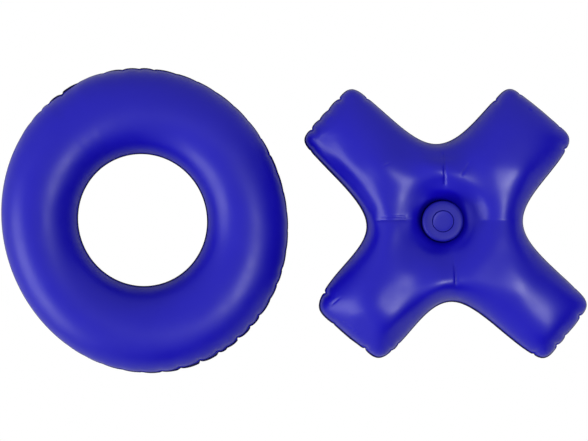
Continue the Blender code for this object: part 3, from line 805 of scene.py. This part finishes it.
def x_skin(name, side):
    info = x_plan()
    n = info["n"]
    lean = np.minimum(np.arccos(np.clip(info["band"] / WELD, 0, 1)), radians(74))
    reach = WELD * np.cos(lean)
    swing = 0.45 * info["lively"] * (info["bow"] - 0.35)
    root = info["line"] - info["out"] * reach[:, None]
    root_now = root + info["out"] * (-0.45 * info["sharp"] + 0.5 * swing)[:, None]
    length = WELD - 0.55 * info["sharp"] + 0.5 * swing
    seam_points = np.column_stack([info["line"]])
    z_seam = X_SEAM_Z + (0.08 + 0.22 * info["lively"]) * waves(seam_points, 41, 45, 14)
    lift = 0.45 * info["lively"] * waves(seam_points, 43, 26, 9)
    tau = np.column_stack([np.cos(lean), -np.sin(lean) + 0.2 * lift])
    tau /= np.linalg.norm(tau, axis=1)[:, None]
    nu = np.column_stack([-tau[:, 1], tau[:, 0]])
    off = SEAM_GAP + FILM

    rim_rows = []
    for f in (1.0, 0.86, 0.5, 0.16):
        xy = root_now + info["out"] * (tau[:, 0] * length * f + side * nu[:, 0] * off)[:, None]
        z = z_seam + tau[:, 1] * length * f + side * nu[:, 1] * off
        rim_rows.append(np.column_stack([xy, z]))
    # plan of the film inside the rim
    smooth_root = root
    inward = outward(smooth_root)
    wall_rows = [smooth_root - inward * d for d in X_WALL]
    last = wall_rows[-1]
    radii = [FILM_HOLE, 15.3, 16.0, 16.9, 17.9, 19.1, 20.4, 21.8, 23.3, 24.9] if side > 0 else []
    steps = 96
    loop_b = np.roll(last, -1, 0)

    fold_points = []
    for a, b, *_ in X_LINES + X_VALLEYS:
        a, b = np.array(a), np.array(b)
        if side < 0:
            continue
        d = b - a
        size = hypot(*d)
        d /= size
        w = np.array((-d[1], d[0]))
        for t in np.arange(-3.0, size + 3.0, 1.1):
            for c in (0.0, 0.45, 0.95, 1.6, 2.5):
                for sgn in ((1,) if c == 0 else (1, -1)):
                    fold_points.append(a + d * t + w * c * sgn)
    fold_points = np.array(fold_points) if fold_points else np.zeros((0, 2))

    def clear(p):
        ok = np.ones(len(p), bool)
        if radii:
            ok &= np.hypot(p[:, 0], p[:, 1]) > radii[-1] + 0.9
        if side > 0:
            for a, b, *_ in X_LINES + X_VALLEYS:
                across, along, size = segment(p, a, b)
                ok &= ~((np.abs(across) < 3.4) & (along * size > -3.9) & (along * size < size + 3.9))
        return ok

    inner = lattice(last, loop_b, clear)
    groups = [inner]
    if len(fold_points):
        # thin out fold points that crowd each other, the rim or the valve
        kept = []
        ok = (np.hypot(fold_points[:, 0], fold_points[:, 1]) > radii[-1] + 0.5) \
            & inside_polygon(fold_points, last, loop_b)
        for p in fold_points[ok]:
            if np.hypot(*(last - p).T).min() < 0.7:
                continue
            if kept and np.hypot(*(np.array(kept) - p).T).min() < 0.40:
                continue
            kept.append(p)
        groups.append(np.array(kept))
    if radii:
        angle = np.arange(steps) * 2 * pi / steps
        for k, r in enumerate(radii):
            a = angle + (pi / steps if k % 2 else 0.0)
            groups.insert(0, np.column_stack([r * np.cos(a), r * np.sin(a)]))
    cloud = np.vstack([last] + groups)
    edges = [(i, (i + 1) % n) for i in range(n)]
    if radii:
        first = n + (len(radii) - 1) * steps
        edges += [(first + i, first + (i + 1) % steps) for i in range(steps)]

    def keep(p):
        ok = inside_polygon(p, last, loop_b)
        if radii:
            ok &= np.hypot(p[:, 0], p[:, 1]) > radii[0] * cos(pi / steps) + 1e-4
        return ok

    tri_local = plan_triangles(cloud, edges, keep)
    # all plan points: wall rows, then the cloud's own
    plan = np.vstack(wall_rows + groups)
    w_count = len(wall_rows)
    shift_map = np.concatenate([np.arange(n) + (w_count - 1) * n,
                                np.arange(len(cloud) - n) + w_count * n])
    tris = shift_map[tri_local]
    grid = np.arange(w_count * n).reshape(w_count, n)
    nxt = np.roll(grid, -1, 1)
    # rows run inwards from the rim, stations counter-clockwise
    quads = np.stack([grid[:-1], nxt[:-1], nxt[1:], grid[1:]], axis=-1).reshape(-1, 4)
    held = np.zeros(len(plan), bool)
    held[:n] = True
    everything = np.vstack([face_way(np.column_stack([plan, plan[:, :1] * 0]),
                                     np.vstack([triangles_of(quads), tris]), 1)])
    rise = solve_rise(plan, everything, held)

    # distance of every plan point from the rim, and its station
    station = np.zeros(len(plan), int)
    deep = np.zeros(len(plan))
    for k in range(w_count):
        station[k * n:(k + 1) * n] = np.arange(n)
        deep[k * n:(k + 1) * n] = X_WALL[k]
    rest = plan[w_count * n:]
    for start in range(0, len(rest), 2000):
        block = rest[start:start + 2000]
        d = np.sqrt(((block[:, None, :] - smooth_root[None, :, :]) ** 2).sum(2))
        station[w_count * n + start:w_count * n + start + len(block)] = d.argmin(1)
        deep[w_count * n + start:w_count * n + start + len(block)] = d.min(1)
    arc = np.sqrt(deep ** 2 + rise ** 2)          # about the length along the film
    up = np.exp(-arc / 9.0)
    z = X_SEAM_Z + (z_seam[station] - X_SEAM_Z) * up + side * (off + rise)
    xy = plan.copy()
    # what the gathers do to the film beside them
    pull = -0.45 * info["sharp"][station] * np.exp(-arc / 4.0) + 0.5 * swing[station] * up
    xy += info["out"][station] * pull[:, None]
    crease = -0.5 * info["soft"][station] * np.exp(-((arc - 3.0) / 6.5) ** 2) \
        + 0.22 * (info["lively"] * (info["bow"] - 0.4))[station] * np.exp(-((arc - 5) / 9.0) ** 2)
    steep = np.clip(deep / np.maximum(arc, 1e-6), 0, 1)
    xy += info["out"][station] * (crease * np.sqrt(1 - steep ** 2))[:, None]
    z += side * crease * steep
    tie = np.exp(-arc / 1.2)
    xy += info["out"][station] * (side * nu[station, 0] * off * tie)[:, None]
    z += (side * nu[station, 1] * off - side * off) * tie

    r = np.hypot(plan[:, 0], plan[:, 1])
    inside = deep > 0.5
    if side > 0:
        bearing = np.degrees(np.arctan2(plan[:, 1], plan[:, 0]))
        climb = by_bearing(VALVE_SLOPE, bearing)
        rr = np.clip(r - FILM_HOLE, 0, None)
        bowl = X_VALVE_FILM_Z + climb * rr + (VALVE_SLOPE_AT_NECK - climb) * VALVE_EASE * (1 - np.exp(-rr / VALVE_EASE))
        z = np.where(inside, soft_least(bowl, z, by_bearing(VALVE_ROUND, bearing)), z)
        z = z + fold_rise(plan, r, deep) + swells(plan, r, deep)
        # the far left arm's near side rolls over a little rounder than the others
        facing = info["out"] @ np.array((cos(radians(208)), sin(radians(208))))
        rolled = smooth_step((facing - 0.72) / 0.16) * smooth_step((info["line"][:, 1] + 1.0) / 9.0) \
            * smooth_step((106.0 - np.hypot(*info["line"].T)) / 22.0)
        z = z + rolled[station] * inside * (
            0.8 * np.exp(-((deep - 12.5) / 5.0) ** 2)
            - 1.7 * np.exp(-((deep - 4.6) / 3.4) ** 2) * smooth_step(deep / 3.0))
    calm = smooth_step(deep / 9.0) * (smooth_step((r - 18.5) / 10) if side > 0 else 1.0)
    xyz = np.column_stack([xy + X_CENTRE, z])
    xyz[:, 2] += side * calm * (waves(xyz[:, :2], 51 if side > 0 else 52, 120, 34) * 0.35
                                + waves(xyz[:, :2], 53 if side > 0 else 54, 34, 14, 12) * 0.05)
    if side < 0:
        xyz[:, 2] = ground(xyz[:, 2])

    rim = np.vstack(rim_rows)
    rim[:, :2] += X_CENTRE
    points = np.vstack([rim, xyz])
    base = len(rim)
    rim_grid = np.arange(4 * n).reshape(4, n)
    link = np.vstack([rim_grid, np.arange(n)[None, :] + base])
    link_next = np.roll(link, -1, 1)
    rim_quads = np.stack([link[:-1], link_next[:-1], link_next[1:], link[1:]], axis=-1).reshape(-1, 4)
    quads = np.vstack([rim_quads, quads + base])
    tris = face_way(points, tris + base, side)
    if side < 0:
        quads = quads[:, ::-1]
    slots = np.concatenate([np.ones(3 * n, int), np.zeros(n, int), np.zeros(len(quads) - 4 * n, int)])
    return film_skin(name, points, quads, tris, (X_TOP if side > 0 else FILM_LOW, RIM_PAINTED_SHADE), slots,
                     np.zeros(len(tris), int))


# ---------------------------------------------------------------- valve pieces
def arc_points(cx, cz, r, a0, a1, n):
    return [(cx + r * cos(radians(a0 + (a1 - a0) * i / n)),
             cz + r * sin(radians(a0 + (a1 - a0) * i / n))) for i in range(n + 1)]


def turned(name, profile, closed, place, z_sign, material, steps=96):
    """A profile (radius, height) turned about the vertical axis at place."""
    prof = list(profile)
    points, faces3, faces4 = [], [], []
    ring_at = []
    for r, z in prof:
        if r < 1e-6:
            ring_at.append([len(points)])
            points.append((0.0, 0.0, z))
        else:
            ring_at.append(list(range(len(points), len(points) + steps)))
            for i in range(steps):
                a = 2 * pi * i / steps
                points.append((r * cos(a), r * sin(a), z))
    pairs = list(zip(range(len(prof) - 1), range(1, len(prof))))
    if closed:
        pairs.append((len(prof) - 1, 0))
    for a, b in pairs:
        ra, rb = ring_at[a], ring_at[b]
        for i in range(steps):
            j = (i + 1) % steps
            if len(ra) == 1 and len(rb) == 1:
                continue
            if len(ra) == 1:
                faces3.append((ra[0], rb[i], rb[j]))
            elif len(rb) == 1:
                faces3.append((ra[i], rb[0], ra[j]))
            else:
                faces4.append((ra[i], rb[i], rb[j], ra[j]))
    pts = np.array(points)
    pts[:, 2] *= z_sign
    if z_sign < 0:
        pts[:, 1] *= -1
    pts += np.array(place)
    f3 = np.array(faces3, int).reshape(-1, 3)
    f4 = np.array(faces4, int).reshape(-1, 4)
    # the profile runs down its outer side, so this order faces out
    ob = add_mesh(name, pts, [f4, f3], (material,))
    tris = np.vstack([triangles_of(f4), f3]) if len(f4) else f3
    a, b, c = (pts[tris[:, i]] for i in range(3))
    if np.einsum("ij,ij->i", a, np.cross(b, c)).sum() < 0:
        ob.data.flip_normals()
    ob.data.set_sharp_from_angle(angle=radians(42))
    return ob


def neck_profile():
    low = -NECK_TOP - NECK_SKIRT
    tube = -NECK_TOP - TUBE_DEPTH
    seat = -SEAT_DEPTH
    prof = [(SEAT_RADIUS + 0.32, -0.02), (9.4, 0.0), (10.6, -0.02), (11.5, -0.08), (12.2, -0.18)]
    prof += arc_points(NECK_RADIUS - 2.05, -2.25, 2.05, 82, 0, 9)
    prof += [(NECK_RADIUS, -4.5), (NECK_RADIUS, -8.0), (NECK_RADIUS, low + 0.4)]
    prof += arc_points(NECK_RADIUS - 0.4, low + 0.4, 0.4, -20, -90, 3)
    inside = NECK_RADIUS - NECK_WALL
    prof += arc_points(inside + 0.4, low + 0.4, 0.4, -90, -180, 3)
    prof += [(inside, -NECK_PLATE - 0.8)]
    prof += arc_points(inside - 0.8, -NECK_PLATE - 0.8, 0.8, 0, 90, 4)[1:]
    prof += arc_points(TUBE_RADIUS + 0.6, -NECK_PLATE - 0.6, 0.6, 90, 180, 4)
    prof += [(TUBE_RADIUS, tube + 0.25), (TUBE_RADIUS - 0.25, tube), (BORE_RADIUS + 0.25, tube),
             (BORE_RADIUS, tube + 0.25), (BORE_RADIUS, seat - 0.4), (BORE_RADIUS + 0.4, seat),
             (SEAT_RADIUS - 0.2, seat), (SEAT_RADIUS, seat + 0.2), (SEAT_RADIUS, -0.4)]
    prof += arc_points(SEAT_RADIUS + 0.32, -0.34, 0.32, 180, 105, 3)
    return prof


def stopper_profile():
    top, under = 0.1, -SEAT_DEPTH + GAP
    end = under - STOPPER_LENGTH
    prof = [(0.0, top - 0.26), (3.0, top - 0.25), (5.2, top - 0.22), (5.9, top - 0.15),
            (6.4, top - 0.04), (6.9, top)]
    prof += arc_points(STOPPER_RADIUS - 0.5, top - 0.5, 0.5, 90, 0, 6)
    prof += [(STOPPER_RADIUS, under + 0.15), (STOPPER_RADIUS - 0.15, under),
             (STOPPER_PIN + 0.25, under), (STOPPER_PIN, under - 0.25), (STOPPER_PIN, end + 0.9),
             (STOPPER_PIN - 0.25, end + 0.35), (STOPPER_PIN - 0.7, end), (0.0, end)]
    return prof


def flange_profile():
    top, low = -FILM - GAP, -FILM - GAP - FLANGE_THICKNESS
    inner = NECK_RADIUS + GAP
    return [(FLANGE_RADIUS - 0.3, top), (FLANGE_RADIUS, top - 0.3), (FLANGE_RADIUS, low + 0.3),
            (FLANGE_RADIUS - 0.3, low), (inner + FLANGE_COLLAR + 0.5, low),
            (inner + FLANGE_COLLAR + 0.15, low - 0.15), (inner + FLANGE_COLLAR, low - 0.5),
            (inner + FLANGE_COLLAR, -FLANGE_DEPTH + 0.3), (inner + FLANGE_COLLAR - 0.3, -FLANGE_DEPTH),
            (inner + 0.2, -FLANGE_DEPTH), (inner, -FLANGE_DEPTH + 0.2), (inner, top - 0.2),
            (inner + 0.2, top)]


def flap_profile():
    h = FLAP_THICKNESS / 2
    r = FLAP_RADIUS
    return [(0.0, h), (4.6, h), (4.9, h - 0.06), (5.2, h), (r - 0.15, h), (r, h - 0.15), (r, -h + 0.15),
            (r - 0.15, -h), (0.0, -h)]


def valve(prefix, x, y, film_z, z_sign, pushed_in):
    mouth = film_z + z_sign * (NECK_TOP - (NECK_TRAVEL if pushed_in else 0.0))
    flap_z = mouth - z_sign * (NECK_TOP + TUBE_DEPTH + GAP + FLAP_THICKNESS / 2)
    made = [
        (turned(prefix + "_flange_moulding", flange_profile(), True, (x, y, film_z), z_sign, MOULDED),
         prefix + "_marker", prefix + "_valve_flange", "valve"),
        (turned(prefix + "_neck_moulding", neck_profile(), True, (x, y, mouth), z_sign, MOULDED, 128),
         prefix + "_valve", prefix + "_valve_neck", "valve"),
        (turned(prefix + "_stopper_plug", stopper_profile(), False, (x, y, mouth), z_sign, PLUG, 96),
         prefix + "_plug", prefix + "_stopper", "stopper"),
        (turned(prefix + "_flap_disc", flap_profile(), False, (x, y, flap_z), 1, FLAP, 64),
         prefix + "_flap", prefix + "_check_flap", "flap"),
    ]
    for ob, body, node, slot in made:
        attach(ob, body)
        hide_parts(node)


# ---------------------------------------------------------------- make everything
for name, maker, side, body, node in (
        ("o_top_skin", o_skin, 1, "o_marker", "o_upper_film"),
        ("o_under_skin", o_skin, -1, "o_marker", "o_lower_film"),
        ("x_top_skin", x_skin, 1, "x_marker", "x_upper_film"),
        ("x_under_skin", x_skin, -1, "x_marker", "x_lower_film")):
    skin = maker(name, side)
    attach(skin, body)
    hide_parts(node)

valve("o", O_VALVE[0], O_VALVE[1], O_VALVE_FILM_Z, -1, True)
valve("x", X_CENTRE[0], X_CENTRE[1], X_VALVE_FILM_Z, 1, False)

# ---------------------------------------------------------------- floor, lights and camera
ROOM_LOW, ROOM_HIGH = 0.62, 0.76     # brightness of the room near the ground and overhead
ROOM_DARK_SIDE, ROOM_DARKNESS = 325.0, 0.88

floor_mesh = bpy.data.meshes.new("floor")
half = 6.0
floor_mesh.from_pydata([(-half, -half, 0), (half, -half, 0), (half, half, 0), (-half, half, 0)],
                       [], [(0, 1, 2, 3)])
floor = bpy.data.objects.new("floor", floor_mesh)
floor.location = (0, 0, -0.0004)
bpy.context.scene.collection.objects.link(floor)
white, tree, bsdf = node_material("floor_white")
bsdf.inputs["Base Color"].default_value = (0.50, 0.50, 0.50, 1.0)
bsdf.inputs["Roughness"].default_value = 0.9
bsdf.inputs["Specular IOR Level"].default_value = 0.1
paper = tree.nodes.new("ShaderNodeEmission")
paper.inputs["Color"].default_value = (1.0, 1.0, 1.0, 1.0)
paper.inputs["Strength"].default_value = 1.0
kind = tree.nodes.new("ShaderNodeLightPath")
either = tree.nodes.new("ShaderNodeMixShader")
tree.links.new(kind.outputs["Is Camera Ray"], either.inputs[0])
tree.links.new(bsdf.outputs["BSDF"], either.inputs[1])
tree.links.new(paper.outputs["Emission"], either.inputs[2])
tree.links.new(either.outputs["Shader"], tree.nodes["Material Output"].inputs["Surface"])
floor_mesh.materials.append(white)

world = bpy.data.worlds.new("studio")
bpy.context.scene.world = world
world.use_nodes = True
wt = world.node_tree
back = wt.nodes["Background"]


def math_node(kind, a, b=None, clamp=False):
    node = wt.nodes.new("ShaderNodeMath")
    node.operation = kind
    node.use_clamp = clamp
    for i, v in enumerate((a, b)):
        if v is None:
            continue
        if isinstance(v, (int, float)):
            node.inputs[i].default_value = v
        else:
            wt.links.new(v, node.inputs[i])
    return node.outputs[0]


def eased(value, low, high, out_low, out_high):
    node = wt.nodes.new("ShaderNodeMapRange")
    node.interpolation_type = "SMOOTHSTEP"
    node.inputs["From Min"].default_value = low
    node.inputs["From Max"].default_value = high
    node.inputs["To Min"].default_value = out_low
    node.inputs["To Max"].default_value = out_high
    wt.links.new(value, node.inputs["Value"])
    return node.outputs["Result"]


# an even studio ceiling, and a darker room low down on the right and the near side
way = wt.nodes.new("ShaderNodeTexCoord")
split = wt.nodes.new("ShaderNodeSeparateXYZ")
wt.links.new(way.outputs["Generated"], split.inputs["Vector"])
toward = math_node("ADD", math_node("MULTIPLY", split.outputs["X"], cos(radians(ROOM_DARK_SIDE))),
                   math_node("MULTIPLY", split.outputs["Y"], sin(radians(ROOM_DARK_SIDE))))
side_share = eased(toward, 0.15, 0.6, 0.0, 1.0)
low_share = eased(split.outputs["Z"], 0.42, 0.76, 1.0, 0.0)
dark = math_node("MULTIPLY", side_share, low_share)
height = eased(split.outputs["Z"], 0.0, 0.9, ROOM_LOW, ROOM_HIGH)
level = math_node("MULTIPLY", height, math_node("SUBTRACT", 1.0, math_node("MULTIPLY", dark, ROOM_DARKNESS)))
back.inputs["Color"].default_value = (1.0, 1.0, 1.02, 1.0)
wt.links.new(level, back.inputs["Strength"])


def softbox(name, azimuth, elevation, distance, width, height, watts, colour=(1, 1, 1)):
    """An area lamp that faces the middle of the pair."""
    lamp = bpy.data.lights.new(name, "AREA")
    lamp.shape = "RECTANGLE"
    lamp.size, lamp.size_y = width, height
    lamp.energy = watts
    lamp.color = colour
    ob = bpy.data.objects.new(name, lamp)
    bpy.context.scene.collection.objects.link(ob)
    a, e = radians(azimuth), radians(elevation)
    way = Vector((cos(a) * cos(e), sin(a) * cos(e), sin(e)))
    ob.location = way * distance + Vector((0, 0, 0.03))
    ob.rotation_mode = "QUATERNION"
    ob.rotation_quaternion = way.to_track_quat("Z", "Y")
    return ob


softbox("window_left", 202, 19, 2.2, 1.9, 1.1, 32)
softbox("softbox_high", 330, 62, 2.2, 0.70, 0.65, 20)

camera_data = bpy.data.cameras.new("camera")
camera_data.sensor_width = 36.0
camera_data.lens = 36.0 * 1600.0 / 411.6
camera = bpy.data.objects.new("camera", camera_data)
camera.location = (0.0, 0.0, 1.6255)
camera_data.clip_start, camera_data.clip_end = 0.05, 60.0
bpy.context.scene.collection.objects.link(camera)
bpy.context.scene.camera = camera
bpy.context.scene.view_settings.view_transform = "Standard"
bpy.context.scene.view_settings.look = "None"
